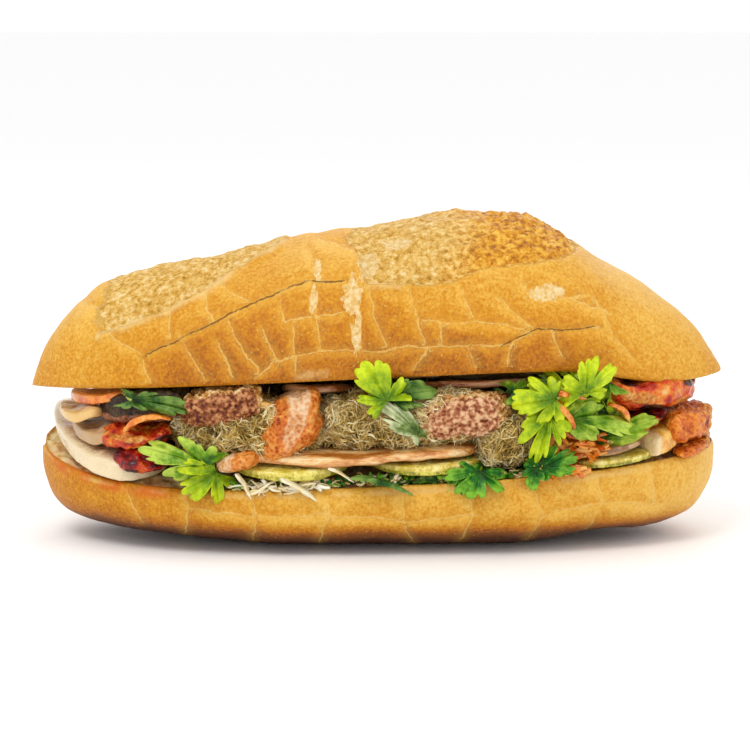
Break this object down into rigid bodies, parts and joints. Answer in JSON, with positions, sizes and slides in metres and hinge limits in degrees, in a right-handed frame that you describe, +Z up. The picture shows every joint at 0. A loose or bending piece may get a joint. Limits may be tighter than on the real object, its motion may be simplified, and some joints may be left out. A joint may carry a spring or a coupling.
{
  "type": "banh mi sandwich",
  "caption": "Crusty Vietnamese roll slit along its front and stuffed with sliced meats, pork floss, cucumber, pickles and coriander.",
  "frame": {"origin": "centre of the flat spot that the roll rests on", "axes": "+X along the roll, towards its pointed right end; -Y towards its open side; +Z up"},
  "size_m": [0.2, 0.0887, 0.0947],
  "materials": {
    "crust": "browned, crackled bread crust over a pale crumb",
    "pork_roll": "smooth pale steamed pork sausage",
    "ham": "moist cooked ham",
    "meatloaf": "coarse, crumbly cooked meat",
    "liver": "dark coarse liver pate",
    "roast": "roasted pork with an orange edge",
    "char_siu": "dark red sticky glaze",
    "floss": "fine fibrous pork floss",
    "cucumber": "wet cucumber flesh with a green skin",
    "daikon": "translucent pickled radish",
    "carrot": "wet pickled carrot",
    "coriander": "light green herb leaf",
    "mint": "dark green herb leaf"
  },
  "bodies": {
    "root": {"bread_roll": "crust", "carrot_bits_right": "carrot", "carrot_curl_right": "carrot", "carrot_heap_right": "carrot", "carrot_slice_left": "carrot", "carrot_sliver_right": "carrot", "carrot_sliver_top": "carrot", "char_siu_left": "char_siu", "char_siu_left_low": "char_siu", "char_siu_right": "char_siu", "char_siu_right_low": "char_siu", "coriander_bunch_right": "mint", "coriander_left_lower": "coriander", "coriander_left_upper": "coriander", "coriander_low_middle": "mint", "coriander_middle": "coriander", "coriander_middle_back": "mint", "coriander_right_bottom": "mint", "coriander_right_dark": "mint", "coriander_right_lower": "coriander", "coriander_right_tip": "mint", "coriander_right_top": "coriander", "coriander_right_upper": "coriander", "cucumber_right_lower": "cucumber", "cucumber_right_upper": "cucumber", "cucumber_slice_left": "cucumber", "cucumber_slice_middle": "cucumber", "daikon_block_right": "daikon", "daikon_shred_left": "daikon", "daikon_shred_middle": "daikon", "daikon_shred_right": "daikon", "daikon_slice_middle": "daikon", "egg_slice_left": "daikon", "floss_left": "floss", "floss_middle": "floss", "floss_right": "floss", "ham_sheet_left": "ham", "ham_sheet_right": "ham", "ham_slice_left": "ham", "ham_slice_long": "ham", "ham_strip_right": "ham", "herb_heap_middle": "mint", "lettuce_right": "coriander", "liver_slab_left": "liver", "liver_slice_right": "liver", "meatloaf_left": "meatloaf", "meatloaf_right": "meatloaf", "mint_left": "mint", "mint_middle": "mint", "pickle_heap_left": "daikon", "pork_rind_left": "roast", "pork_roll_slice_left": "pork_roll", "roast_pork_middle": "roast", "roast_pork_right": "roast", "roast_scrap_right": "roast", "roast_wedge_left": "roast", "spring_onion": "mint"}
  },
  "joints": []
}
